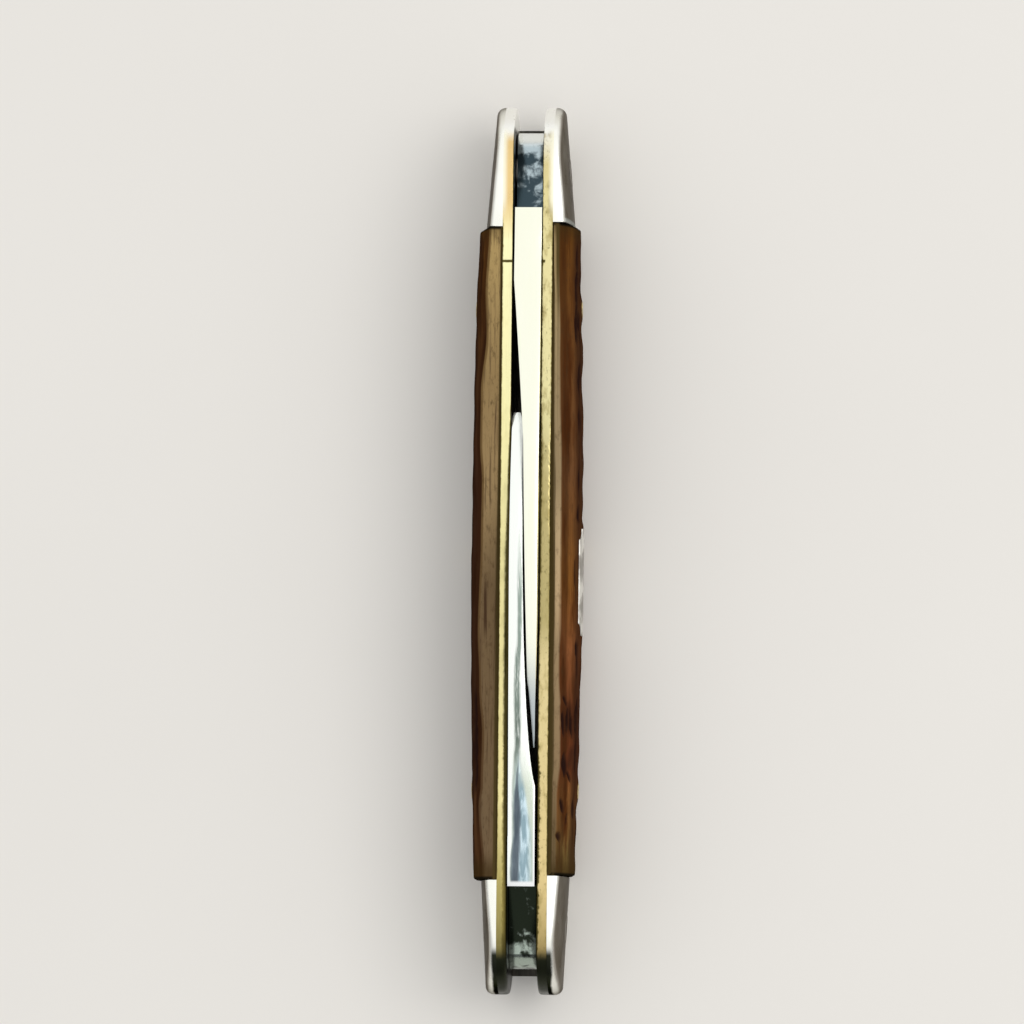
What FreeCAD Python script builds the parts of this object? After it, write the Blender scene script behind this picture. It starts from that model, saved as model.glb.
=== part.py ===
import FreeCAD, Part
import math
import os

from FreeCAD import Vector

# Folding pocket knife of the two-blade pen pattern, closed and standing on its back.
# X runs across the handle (mark side +X), Y along it (main blade's pivot at +Y) and Z from the back
# up to the blade side. The origin is on the back, under the middle of the handle. Millimetres.

# Handle
CLOSED_LENGTH = 70.0
END_RADIUS = 5.15  # round ends, centred on the pivots
BOLSTER_LENGTH = 9.3  # to the plane where the tapered face is measured
BOLSTER_ROOTS = dict(mark_main=25.45, mark_pen=25.75, pile_main=25.1, pile_pen=26.1)  # from mid-handle
LINER_THICKNESS = 0.81
BOLSTER_EDGE_BREAK = 0.25

# Half widths of the handle covers at the flush edge and at the crown halfway up, and how they fall
# away: the scales bow from mid-handle to the bolsters, the bolsters taper from there to the ends.
# The mark-side scale is more worn, with a rounder edge.
MARK_SCALE = dict(edge=2.95, crown=4.32, edge_round=0.35)
PILE_SCALE = dict(edge=3.55, crown=4.5, edge_round=0.15)
SCALE_BOW = 0.42
BOLSTER_EDGE, BOLSTER_CROWN, BOLSTER_TAPER = 2.88, 3.46, 0.085

# Blades: tang, seats for the spring, and the tilt that lifts the closed blade's spine out of the slot
TANG_THICKNESS = 2.12
SIDE_PLAY = 0.1  # tang to liner, each side: the joints are worn loose
BLADE_SET = 0.06  # each blade leans on its own liner and leaves the play on its inner side
SEAT = 2.6  # pivot to the flats that sit on the spring
TANG_RADIUS = 3.15  # round end of the tang
STEP = 3.7  # pivot to the notch that stops the open blade on the spring's end
SPINE = 4.9  # pivot to spine
CLOSED_TILT = math.radians(5.0)
KICK_START, KICK_MID, KICK_END = 4.7, 5.8, 6.9  # along the closed blade, from the pivot
KICK_DEPTH = 2.66  # below the pivot, closed
CHOIL_TOP = 0.45  # rise of the notch behind the cutting edge
HEEL = 8.0  # pivot to the start of the cutting edge
PLUNGE = 7.6  # pivot to the start of the ground part
EDGE_HALF = 0.05
SEAT_PLAY = 0.02
OUTER_RELIEF = 0.02

# Each blade: length, cutting edge below the pivot, spine drop, belly and tip; the height where its flat
# grind starts; where its outer and inner faces turn in to the tip; and the crank that thins it to lie
# beside the other blade, from full thickness over a bend to an inner face slanting across the middle
MAIN_BLADE = dict(
    length=45.8, edge=2.75, drop=27.0, belly=30.0, tip=0.3, grind=2.2,
    taper=36.0, tip_outer=0.8, point=40.5, tip_inner=-0.76,
    crank_start=9.5, bend=13.0, bend_inner=0.75, crank_end=22.0, crossing=27.5, slant=0.024,
)
PEN_BLADE = dict(
    length=40.6, edge=2.35, drop=26.5, belly=27.0, tip=0.9, grind=1.3,
    taper=40.2, tip_outer=0.75, point=39.6, tip_inner=-0.5,
    crank_start=11.5, bend=14.0, bend_inner=0.36, crank_end=23.4, crossing=27.0, slant=0.018,
)
NICK_FROM_PIVOT = 23.0
NICK_BELOW_SPINE = 0.75
NICK_WHEEL, NICK_DEPTH, NICK_HEIGHT = 22.0, 0.4, 1.15
NICK_SLANT = 0.45

# Back spring, by height above the back
SPRING_WAIST_Y, SPRING_WAIST = 20.0, 2.12
SPRING_SHOULDER_Y, SPRING_SHOULDER = 9.0, 2.65
SPRING_MIDDLE = 3.2
SPRING_SEAT_INNER = 26.8  # where the flat seats end, from mid-handle

# Pins and rivets
PIVOT_PIN_RADIUS = 1.1
PIVOT_CLEARANCE = 0.03
SPRING_RIVET_RADIUS, SPRING_RIVET_Z = 0.8, 1.6
SCALE_PIN_RADIUS, SCALE_PIN_Y = 0.65, 19.0
SHIELD_RIVET_RADIUS, SHIELD_RIVET_SPREAD = 0.4, 2.5

# Shield: a plain bar with scooped corners, let into the mark-side scale
SHIELD_Y = -2.6
SHIELD_LENGTH, SHIELD_WIDTH = 8.4, 4.2
SHIELD_SCOOP = 0.9
SHIELD_FLOOR = 3.6
SHIELD_PROUD = 0.05

# Worked out from the driving dimensions
PIVOT_Y = CLOSED_LENGTH / 2 - END_RADIUS
PIVOT_Z = END_RADIUS
HEIGHT = 2 * END_RADIUS
TANG_HALF = TANG_THICKNESS / 2
SLOT_HALF = TANG_HALF + SIDE_PLAY
LINER_OUT = SLOT_HALF + LINER_THICKNESS
BOLSTER_ROOT_Y = CLOSED_LENGTH / 2 - BOLSTER_LENGTH
SPRING_END_Y = PIVOT_Y + STEP - SEAT_PLAY
SPRING_SEAT_Z = PIVOT_Z - SEAT - SEAT_PLAY
OVERRUN = 1.0  # how far a cutting shape runs past what it cuts
REACH = 8.0  # past the widest point of the handle, from the middle plane


def point(y, z):
    """A point of a side profile, drawn on the middle plane."""
    return Vector(0, y, z)


def face(curves):
    return Part.Face(Part.Wire([curve.toShape() for curve in curves]))


def plate(profile, x_low, x_high):
    """A side profile as a plate between two distances from the middle plane."""
    solid = profile.extrude(Vector(x_high - x_low, 0, 0))
    solid.translate(Vector(x_low, 0, 0))
    return solid


def rod(y, z, radius, x_low, x_high):
    return Part.makeCylinder(radius, x_high - x_low, Vector(x_low, y, z), Vector(1, 0, 0))


def slab(y_low, y_high, x_low=-REACH, x_high=REACH):
    """A tall block that keeps one stretch of the handle or of a blade."""
    corner = Vector(x_low, y_low, -2 * REACH)
    return Part.makeBox(x_high - x_low, y_high - y_low, 4 * REACH, corner)


def pile_side(shape):
    return shape.mirror(Vector(0, 0, 0), Vector(1, 0, 0))


def pen_end(shape):
    return shape.mirror(Vector(0, 0, 0), Vector(0, 1, 0))


def handle_profile():
    """Flat back and blade side, joined by the round ends."""
    back_pen, back_main = point(-PIVOT_Y, 0), point(PIVOT_Y, 0)
    top_main, top_pen = point(PIVOT_Y, HEIGHT), point(-PIVOT_Y, HEIGHT)
    return face([
        Part.LineSegment(back_pen, back_main),
        Part.Arc(back_main, point(PIVOT_Y + END_RADIUS, PIVOT_Z), top_main),
        Part.LineSegment(top_main, top_pen),
        Part.Arc(top_pen, point(-PIVOT_Y - END_RADIUS, PIVOT_Z), back_pen),
    ])


def crown_arc(edge, crown):
    """Centre and radius of the arc across a handle cover, from flush edge to crown to flush edge."""
    half, rise = HEIGHT / 2, crown - edge
    radius = (half ** 2 + rise ** 2) / (2 * rise)
    return crown - radius, radius


def scale_section(edge, crown, edge_round):
    """Section at mid-handle: a crowned face whose edges are rounded into the flush edges."""
    half, r = HEIGHT / 2, edge_round
    centre, radius = crown_arc(edge, crown)
    flush_x = centre + math.sqrt((radius - r) ** 2 - (half - r) ** 2)
    touch = math.atan2(half - r, flush_x - centre)
    touch_x, touch_z = centre + radius * math.cos(touch), radius * math.sin(touch)
    bulge = (touch + math.pi / 2) / 2
    bulge_x, bulge_z = flush_x + r * math.cos(bulge), half - r + r * math.sin(bulge)

    def at(x, z):
        return Vector(x, 0, half + z)

    return face([
        Part.LineSegment(at(-OVERRUN, half), at(flush_x, half)),
        Part.Arc(at(flush_x, half), at(bulge_x, bulge_z), at(touch_x, touch_z)),
        Part.Arc(at(touch_x, touch_z), at(crown, 0), at(touch_x, -touch_z)),
        Part.Arc(at(touch_x, -touch_z), at(bulge_x, -bulge_z), at(flush_x, -half)),
        Part.LineSegment(at(flush_x, -half), at(-OVERRUN, -half)),
        Part.LineSegment(at(-OVERRUN, -half), at(-OVERRUN, half)),
    ])


def bolster_section():
    """Section at the bolster's root: a crowned face that runs on past the flush edges."""
    half = HEIGHT / 2
    centre, radius = crown_arc(BOLSTER_EDGE, BOLSTER_CROWN)
    past = half + OVERRUN
    past_x = centre + math.sqrt(radius ** 2 - past ** 2)

    def at(x, z):
        return Vector(x, BOLSTER_ROOT_Y, half + z)

    return face([
        Part.LineSegment(at(-OVERRUN, past), at(past_x, past)),
        Part.Arc(at(past_x, past), at(BOLSTER_CROWN, 0), at(past_x, -past)),
        Part.LineSegment(at(past_x, -past), at(-OVERRUN, -past)),
        Part.LineSegment(at(-OVERRUN, -past), at(-OVERRUN, past)),
    ])


def scale_envelope(size):
    """The scale's section swept along a wide circle, so that it bows from mid-handle to both bolsters."""
    radius = (BOLSTER_ROOT_Y ** 2 + SCALE_BOW ** 2) / (2 * SCALE_BOW)
    centre, axis = Vector(size["crown"] - radius, 0, 0), Vector(0, 0, 1)
    half_turn = math.degrees(math.asin((BOLSTER_ROOT_Y + OVERRUN) / radius))
    section = scale_section(**size)
    section.rotate(centre, axis, -half_turn)
    return section.revolve(centre, axis, 2 * half_turn)


def bolster_envelope():
    """The bolster's section drawn out towards the end of the handle, leaning in along the taper."""
    lean = math.atan(BOLSTER_TAPER)
    along = Vector(-math.sin(lean), math.cos(lean), 0)
    section = bolster_section()
    section.rotate(Vector(0, BOLSTER_ROOT_Y, 0), Vector(0, 0, 1), math.degrees(lean))
    section.translate(along * -OVERRUN)
    return section.extrude(along * (BOLSTER_LENGTH + 2 * OVERRUN))


def scale_blank(envelope, side):
    """A scale before drilling, drawn on the mark side, between the roots of its two bolsters."""
    return envelope.common(slab(-BOLSTER_ROOTS[side + "_pen"], BOLSTER_ROOTS[side + "_main"], LINER_OUT, REACH))


def bolster_blank(envelope, profile, root):
    """A bolster before drilling, drawn at the main blade's end of the mark side, its outer edges broken."""
    blank = envelope.common(plate(profile, LINER_OUT, REACH)).common(slab(root, CLOSED_LENGTH))
    outer_edges = [
        edge for edge in blank.Edges
        if edge.BoundBox.XMin > LINER_OUT + BOLSTER_EDGE_BREAK / 2 and edge.BoundBox.YLength > OVERRUN
    ]
    return blank.makeChamfer(BOLSTER_EDGE_BREAK, outer_edges)


def shield_profile():
    """A bar whose four corners are scooped out by quarter circles."""
    half_length, half_width = SHIELD_LENGTH / 2, SHIELD_WIDTH / 2
    diagonal = SHIELD_SCOOP * math.sqrt(0.5)
    curves = []
    corners = [(1, -1), (1, 1), (-1, 1), (-1, -1)]
    for index, (along, up) in enumerate(corners):
        corner_y, corner_z = SHIELD_Y + along * half_length, PIVOT_Z + up * half_width
        on_end = point(corner_y, corner_z - up * SHIELD_SCOOP)
        on_side = point(corner_y - along * SHIELD_SCOOP, corner_z)
        inside = point(corner_y - along * diagonal, corner_z - up * diagonal)
        start, finish = (on_side, on_end) if index % 2 == 0 else (on_end, on_side)
        if curves:
            curves.append(Part.LineSegment(curves[-1].EndPoint, start))
        curves.append(Part.Arc(start, inside, finish))
    curves.append(Part.LineSegment(curves[-1].EndPoint, curves[0].StartPoint))
    return face(curves)


def closed_point(along, up):
    """A tang point given level with the spring when closed, turned into the blade's own frame."""
    turn = CLOSED_TILT
    return point(
        along * math.cos(turn) + up * math.sin(turn),
        up * math.cos(turn) - along * math.sin(turn),
    )


def easing_arc(start, finish):
    """An arc that leaves start along the blade and ends at finish."""
    run, rise = finish.y - start.y, finish.z - start.z
    radius = (run ** 2 + rise ** 2) / (2 * abs(rise))
    half_turn = math.asin(run / radius) / 2
    side = math.copysign(1.0, rise)
    middle = point(
        start.y + radius * math.sin(half_turn),
        start.z + side * radius * (1 - math.cos(half_turn)),
    )
    return Part.Arc(start, middle, finish)


def blade_profile(size):
    """Side view of a blade and its tang about the pivot, tip towards +Y and spine towards +Z."""
    edge = size["edge"]
    seat_corner = math.sqrt(TANG_RADIUS ** 2 - SEAT ** 2)
    step_foot, step_head = point(STEP, SEAT), point(STEP, SPINE)
    drop_start, blade_tip = point(size["drop"], SPINE), point(size["length"], size["tip"])
    belly_start, heel = point(size["belly"], -edge), point(HEEL, -edge)
    kick_front = closed_point(KICK_END, -SEAT)
    kick_low = closed_point(KICK_MID, -KICK_DEPTH)
    kick_back = closed_point(KICK_START, -SEAT)
    choil = point((kick_front.y + HEEL) / 2, -edge + CHOIL_TOP)
    closed_corner = closed_point(-seat_corner, -SEAT)
    open_corner = point(-seat_corner, SEAT)
    return face([
        Part.LineSegment(step_foot, step_head),
        Part.LineSegment(step_head, drop_start),
        easing_arc(drop_start, blade_tip),
        easing_arc(belly_start, blade_tip),
        Part.LineSegment(belly_start, heel),
        Part.Arc(heel, choil, kick_front),
        Part.Arc(kick_front, kick_low, kick_back),
        Part.LineSegment(kick_back, closed_corner),
        Part.Arc(closed_corner, point(-TANG_RADIUS, 0), open_corner),
        Part.LineSegment(open_corner, step_foot),
    ])


def inner_face(size, along):
    """Distance of a blade's inner face from the middle plane, on the side of the other blade."""
    return size["slant"] * (size["crossing"] - along)


def plan_at_spine(size, height):
    """Plan of the ground blade from its spine down to the grind line."""
    outer, end = -TANG_HALF + OUTER_RELIEF, size["length"] + OVERRUN
    crank_end = size["crank_end"]

    def at(x, along):
        return Vector(x, along, height)

    corners = [
        at(TANG_HALF, size["crank_start"]), at(TANG_HALF, PLUNGE), at(outer, PLUNGE), at(outer, size["taper"]),
        at(-size["tip_outer"], end), at(size["tip_inner"], end),
        at(inner_face(size, size["point"]), size["point"]), at(inner_face(size, crank_end), crank_end),
    ]
    crank = Part.BezierCurve()
    crank.setPoles([corners[-1], at(size["bend_inner"], size["bend"]), corners[0]])
    sides = [Part.LineSegment(start, finish) for start, finish in zip(corners, corners[1:])]
    return Part.Wire([curve.toShape() for curve in sides + [crank]])


def plan_at_edge(size):
    """Plan of the cutting edge, a thin strip with the same corners as the plan at the spine."""
    outer, end = -TANG_HALF + OUTER_RELIEF, size["length"] + OVERRUN
    tip_middle = (size["tip_inner"] - size["tip_outer"]) / 2

    def at(side, along, middle=None):
        if middle is None:
            middle = (outer + inner_face(size, along)) / 2
        return Vector(middle + side * EDGE_HALF, along, -size["edge"])

    return Part.makePolygon([
        at(1, size["crank_start"]), at(1, PLUNGE), at(-1, PLUNGE), at(-1, size["taper"]),
        at(-1, end, tip_middle), at(1, end, tip_middle),
        at(1, size["point"]), at(1, size["crank_end"]), at(1, size["crank_start"]),
    ])


def nail_nick():
    """The bite of a bevelled grinding wheel in the blade's outer face: straight above, curved below."""
    top = SPINE - NICK_BELOW_SPINE
    wheel_x = -TANG_HALF + OUTER_RELIEF + NICK_DEPTH - NICK_WHEEL
    foot = Vector(wheel_x, NICK_FROM_PIVOT, top - NICK_HEIGHT)
    return Part.makeCone(NICK_WHEEL - NICK_SLANT, NICK_WHEEL, NICK_HEIGHT, foot, Vector(0, 0, 1))


def blade(size):
    """A blade about its pivot, lying against the pile side, with its nail nick on that side."""
    full = plate(blade_profile(size), -TANG_HALF, TANG_HALF)
    ground = Part.makeLoft([
        plan_at_spine(size, SPINE + OVERRUN),
        plan_at_spine(size, size["grind"]),
        plan_at_edge(size),
    ], True, True)
    tang = full.common(slab(-REACH, PLUNGE))
    solid = tang.fuse(full.common(ground)).removeSplitter()
    bore = rod(0, 0, PIVOT_PIN_RADIUS + PIVOT_CLEARANCE, -REACH, REACH)
    return solid.cut(nail_nick()).cut(bore)


def closed_pen_blade():
    solid = blade(PEN_BLADE)
    solid.rotate(Vector(0, 0, 0), Vector(1, 0, 0), math.degrees(CLOSED_TILT))
    solid.translate(Vector(-BLADE_SET, -PIVOT_Y, PIVOT_Z))
    return solid


def closed_main_blade():
    solid = blade(MAIN_BLADE)
    solid.rotate(Vector(0, 0, 0), Vector(1, 0, 0), math.degrees(CLOSED_TILT))
    solid.rotate(Vector(0, 0, 0), Vector(0, 0, 1), 180.0)
    solid.translate(Vector(BLADE_SET, PIVOT_Y, PIVOT_Z))
    return solid


def back_spring(profile):
    """One spring for both blades: flat seats under the tangs, thin arms, and a thick middle for the rivet."""
    half = [
        (SPRING_SEAT_INNER, SPRING_SEAT_Z),
        (SPRING_WAIST_Y, SPRING_WAIST),
        (SPRING_SHOULDER_Y, SPRING_SHOULDER),
    ]
    knots = [point(-y, z) for y, z in half] + [point(0, SPRING_MIDDLE)] + [point(y, z) for y, z in half[::-1]]
    inside = Part.BSplineCurve()
    along = Vector(0, 1, 0)
    inside.interpolate(knots, InitialTangent=along, FinalTangent=along)
    pen_tip, main_tip = point(-SPRING_END_Y, SPRING_SEAT_Z), point(SPRING_END_Y, SPRING_SEAT_Z)
    pen_foot, main_foot = point(-SPRING_END_Y, -OVERRUN), point(SPRING_END_Y, -OVERRUN)
    strip = face([
        Part.LineSegment(pen_foot, pen_tip),
        Part.LineSegment(pen_tip, knots[0]),
        inside,
        Part.LineSegment(knots[-1], main_tip),
        Part.LineSegment(main_tip, main_foot),
        Part.LineSegment(main_foot, pen_foot),
    ])
    solid = plate(strip, -SLOT_HALF, SLOT_HALF).common(plate(profile, -SLOT_HALF, SLOT_HALF))
    return solid.cut(rod(0, SPRING_RIVET_Z, SPRING_RIVET_RADIUS, -REACH, REACH))


def through_pin(y, z, radius, mark_form, pile_form):
    """A rivet right through the handle, its heads dressed flush with both covers."""
    mark_half, pile_half = (rod(y, z, radius, 0, REACH).common(form) for form in (mark_form, pile_form))
    return mark_half.fuse(pile_side(pile_half)).removeSplitter()


def scale_pin(y, envelope):
    """A pin from the liner's inner face out to the surface of a scale, drawn on the mark side."""
    return rod(y, PIVOT_Z, SCALE_PIN_RADIUS, SLOT_HALF, REACH).common(envelope)


def drilled(blank, holes):
    for y, z, radius in holes:
        blank = blank.cut(rod(y, z, radius, -REACH, REACH))
    return blank


def build():
    """Every piece of the knife by node name."""
    profile = handle_profile()
    mark_form, pile_form = scale_envelope(MARK_SCALE), scale_envelope(PILE_SCALE)
    bolster_form = bolster_envelope()
    pen_bolster_form = pen_end(bolster_form)

    pivot_holes = [(y, PIVOT_Z, PIVOT_PIN_RADIUS) for y in (-PIVOT_Y, PIVOT_Y)]
    spring_hole = (0, SPRING_RIVET_Z, SPRING_RIVET_RADIUS)
    scale_holes = [(y, PIVOT_Z, SCALE_PIN_RADIUS) for y in (-SCALE_PIN_Y, SCALE_PIN_Y)]
    shield_holes = [
        (SHIELD_Y + side * SHIELD_RIVET_SPREAD, PIVOT_Z, SHIELD_RIVET_RADIUS) for side in (-1, 1)
    ]

    liner = drilled(plate(profile, SLOT_HALF, LINER_OUT), pivot_holes + scale_holes + [spring_hole])
    mark_scale, pile_scale = (
        drilled(scale_blank(form, side), scale_holes + [spring_hole])
        for form, side in ((mark_form, "mark"), (pile_form, "pile"))
    )
    bolsters = {
        place: drilled(bolster_blank(bolster_form, profile, root), pivot_holes)
        for place, root in BOLSTER_ROOTS.items()
    }

    shield_block = plate(shield_profile(), SHIELD_FLOOR, REACH)
    shield_form = mark_form.translated(Vector(SHIELD_PROUD, 0, 0))
    shield = drilled(shield_block.common(shield_form), shield_holes)
    shield_rivets = [rod(*hole, LINER_OUT, REACH).common(shield_form) for hole in shield_holes]

    pieces = {
        "back_spring": back_spring(profile),
        "main_blade": closed_main_blade(),
        "pen_blade": closed_pen_blade(),
        "mark_liner": liner,
        "pile_liner": pile_side(liner),
        "mark_scale": drilled(mark_scale.cut(shield_block), shield_holes),
        "pile_scale": pile_side(pile_scale),
        "mark_main_bolster": bolsters["mark_main"],
        "mark_pen_bolster": pen_end(bolsters["mark_pen"]),
        "pile_main_bolster": pile_side(bolsters["pile_main"]),
        "pile_pen_bolster": pile_side(pen_end(bolsters["pile_pen"])),
        "main_pivot_pin": through_pin(PIVOT_Y, PIVOT_Z, PIVOT_PIN_RADIUS, bolster_form, bolster_form),
        "pen_pivot_pin": through_pin(-PIVOT_Y, PIVOT_Z, PIVOT_PIN_RADIUS, pen_bolster_form, pen_bolster_form),
        "spring_rivet": through_pin(*spring_hole, mark_form, pile_form),
        "shield": shield,
        "shield_rivets": Part.makeCompound(shield_rivets),
    }
    for end, pin_y in (("pen", -SCALE_PIN_Y), ("main", SCALE_PIN_Y)):
        pieces[f"mark_scale_pin_{end}"] = scale_pin(pin_y, mark_form)
        pieces[f"pile_scale_pin_{end}"] = pile_side(scale_pin(pin_y, pile_form))
    return pieces


def main():
    os.makedirs("parts", exist_ok=True)
    for name, shape in build().items():
        print(f"{name}: {len(shape.Solids)} solid(s), {shape.Volume:.2f} mm3, valid {shape.isValid()}")
        shape.exportStep(f"parts/{name}.step")


main()
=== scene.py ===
import math
import random

import bmesh
import bpy
import numpy
from mathutils import Matrix, Vector, noise


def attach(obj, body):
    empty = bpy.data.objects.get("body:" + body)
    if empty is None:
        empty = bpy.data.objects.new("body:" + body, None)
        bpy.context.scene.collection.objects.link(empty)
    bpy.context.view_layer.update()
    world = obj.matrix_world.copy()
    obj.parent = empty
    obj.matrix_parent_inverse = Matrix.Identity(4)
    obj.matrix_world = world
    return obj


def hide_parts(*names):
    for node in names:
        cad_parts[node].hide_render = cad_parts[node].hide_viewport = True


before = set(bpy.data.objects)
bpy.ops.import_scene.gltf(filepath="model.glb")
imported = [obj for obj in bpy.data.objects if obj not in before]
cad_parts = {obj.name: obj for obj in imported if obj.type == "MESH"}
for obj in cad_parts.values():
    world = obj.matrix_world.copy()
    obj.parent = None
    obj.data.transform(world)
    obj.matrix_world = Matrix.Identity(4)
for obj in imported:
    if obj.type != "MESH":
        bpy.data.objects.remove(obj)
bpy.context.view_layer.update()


# Back spring
# One flat bar of hardened steel along the back of the handle, shared by both blades. It is held by a
# rivet at its middle, and its ends press on the tangs. The back is worn smooth; the inside is darkened
# with oil and with painted shade.

mm = 0.001
MERGE_DISTANCE = 0.001 * mm
FLAT_ANGLE, SHARP_ANGLE = math.radians(0.1), math.radians(35)
SPRING_ARRIS = 0.06 * mm
DULL_STEEL, BRUSHED_STEEL, RUSTY_STEEL = (0.36, 0.35, 0.33), (0.6, 0.59, 0.56), (0.2, 0.17, 0.13)
SHADED_OILY_STEEL, SHADED_OILY_RUST = (0.05, 0.047, 0.04), (0.12, 0.11, 0.09)


class Finish:
    """A surface finish made of shader nodes, laid out in millimetres on the piece's own coordinates."""

    def __init__(self, name, **constants):
        self.material = bpy.data.materials.new(name)
        self.material.use_nodes = True
        self.nodes, self.links = self.material.node_tree.nodes, self.material.node_tree.links
        self.shader = self.nodes["Principled BSDF"]
        for socket, value in constants.items():
            self.shader.inputs[socket.replace("_", " ")].default_value = value
        metres = self.add("ShaderNodeTexCoord", "Object")
        self.place = self.add("ShaderNodeMapping", Vector=metres, Scale=(1 / mm,) * 3)
        self.x, self.y, self.z = (
            self.add("ShaderNodeSeparateXYZ", axis, Vector=self.place) for axis in "XYZ"
        )

    def add(self, kind, out=0, settings=(), **inputs):
        """A new node's output. Its settings and inputs are given by their names."""
        node = self.nodes.new(kind)
        for name, value in dict(settings).items():
            setattr(node, name, value)
        for name, value in inputs.items():
            self.feed(node.inputs[name.replace("_", " ")], value)
        return node.outputs[out]

    def feed(self, socket, value):
        """Links another node's output to a socket, or sets the socket to a constant."""
        if isinstance(value, bpy.types.NodeSocket):
            self.links.new(value, socket)
        else:
            socket.default_value = value

    def painted(self, name):
        """A value that the piece's own mesh carries."""
        return self.add("ShaderNodeAttribute", "Fac", {"attribute_name": name})

    def work(self, operation, *terms):
        """One step of arithmetic on values."""
        node = self.nodes.new("ShaderNodeMath")
        node.operation = operation
        for socket, term in zip(node.inputs, terms):
            self.feed(socket, term)
        return node.outputs[0]

    def plus(self, first, second):
        return self.work("ADD", first, second)

    def times(self, first, second):
        return self.work("MULTIPLY", first, second)

    def away(self, value, middle=0.0):
        """How far a value lies from a middle, on either side of it."""
        return self.work("ABSOLUTE", self.work("SUBTRACT", value, middle))

    def rise(self, value, low, high):
        """0 below low and 1 above high (or the other way round where low is the larger)."""
        return self.add(
            "ShaderNodeMapRange", settings={"interpolation_type": "SMOOTHSTEP"},
            Value=value, From_Min=low, From_Max=high,
        )

    def band(self, value, middle, half):
        """1 at the middle of a band, falling to 0 at its edges."""
        return self.rise(self.away(value, middle), half, self.times(half, 0.3))

    def grain(self, per_mm, detail=4.0, roughness=0.55, distortion=0.0, shift=0.0):
        """Noise with its own fineness along each axis, in features per millimetre."""
        place = self.add("ShaderNodeMapping", Vector=self.place, Scale=per_mm, Location=(shift,) * 3)
        return self.add(
            "ShaderNodeTexNoise", Vector=place, Scale=1.0, Detail=detail, Roughness=roughness,
            Distortion=distortion,
        )

    def tint(self, factor, below, above, most=1.0):
        """A colour with another laid over it by a factor, of which it takes at most the given share."""
        colours = [c if isinstance(c, bpy.types.NodeSocket) else (*c, 1) for c in (below, above)]
        share = factor if most == 1.0 else self.times(factor, most)
        return self.add("ShaderNodeMixRGB", Fac=share, Color1=colours[0], Color2=colours[1])

    def along(self, *stops):
        """A colour that drifts along the handle, from stops of a place in millimetres and a colour."""
        low, high = stops[0][0], stops[-1][0]
        share = self.add("ShaderNodeMapRange", Value=self.y, From_Min=low, From_Max=high)
        node = self.nodes.new("ShaderNodeValToRGB")
        self.links.new(share, node.inputs[0])
        steps = node.color_ramp.elements
        steps[0].color, steps[1].color = (*stops[0][1], 1), (*stops[-1][1], 1)
        for place, colour in stops[1:-1]:
            steps.new((place - low) / (high - low)).color = (*colour, 1)
        return node.outputs[0]

    def wear(self, colour, roughness=None, height=None, depth=0.0):
        """Lays the worked-out colour, roughness and fine relief on the shader."""
        self.feed(self.shader.inputs["Base Color"], colour)
        if roughness is not None:
            self.feed(self.shader.inputs["Roughness"], roughness)
        if height is not None:
            bump = self.add("ShaderNodeBump", Height=height, Distance=depth, Strength=1.0)
            self.feed(self.shader.inputs["Normal"], bump)
        return self.material


def fit(name, bm, material, body, node, sharp=30):
    """Makes a piece of the finished mesh, its faces outwards, and fixes it to the body it moves with."""
    if bm.calc_volume(signed=True) < 0:
        bmesh.ops.reverse_faces(bm, faces=bm.faces)
    mesh = bpy.data.meshes.new(name)
    bm.to_mesh(mesh)
    bm.free()
    mesh.shade_smooth()
    mesh.set_sharp_from_angle(angle=math.radians(sharp))
    mesh.materials.append(material)
    piece = bpy.data.objects.new(name, mesh)
    bpy.context.scene.collection.objects.link(piece)
    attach(piece, body)
    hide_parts(node)
    return piece


def solid_of(node):
    """The CAD solid's shape with its triangles merged back into flat faces."""
    bm = bmesh.new()
    bm.from_mesh(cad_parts[node].data)
    bmesh.ops.remove_doubles(bm, verts=bm.verts, dist=MERGE_DISTANCE)
    bmesh.ops.dissolve_limit(bm, angle_limit=FLAT_ANGLE, verts=bm.verts, edges=bm.edges)
    return bm


def break_edges(bm, width, keep=lambda edge: True):
    """Rounds the solid's sharp outer edges a little, as a stone does."""
    edges = [
        edge for edge in bm.edges
        if edge.is_manifold and abs(edge.calc_face_angle_signed()) > SHARP_ANGLE and keep(edge)
    ]
    bmesh.ops.bevel(
        bm, geom=edges, offset=width, offset_type="OFFSET", affect="EDGES", segments=2, profile=0.5,
        material=-1, clamp_overlap=True,
    )


def spring_steel():
    """Brushed steel, rusty in patches, and darkened inside the handle with oil and with painted shade."""
    finish = Finish("spring_steel", Metallic=1.0)
    brushed = finish.grain((14, 0.5, 14), detail=3)
    rust = finish.rise(finish.grain((0.7, 0.25, 0.7), detail=6), 0.42, 0.66)
    aged = finish.tint(rust, finish.tint(brushed, DULL_STEEL, BRUSHED_STEEL), RUSTY_STEEL)
    # Inside the handle the steel is darkened with oil and with painted shade, as deep in the slot.
    inside = finish.tint(rust, SHADED_OILY_STEEL, SHADED_OILY_RUST)
    return finish.wear(
        colour=finish.tint(finish.rise(finish.z, 0.15, 1.2), aged, inside),
        roughness=finish.rise(brushed, -0.6, 1.6),
        height=brushed,
        depth=0.004 * mm,
    )


spring = solid_of("back_spring")
break_edges(spring, SPRING_ARRIS)
fit("spring", spring, spring_steel(), "handle", "back_spring")


# Brass liners
# Two plates of rolled brass either side of the blade slot, with the handle's full outline. Their top
# edges are filed flush with the covers. Blades have rubbed the inner edges away, more so at the pen end.

HANDLE_LENGTH, END_RADIUS = 70 * mm, 5.15 * mm
PIVOT_Y, PIVOT_Z = HANDLE_LENGTH / 2 - END_RADIUS, END_RADIUS
SLOT_HALF, LINER_OUT = 1.16 * mm, 1.97 * mm
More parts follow.
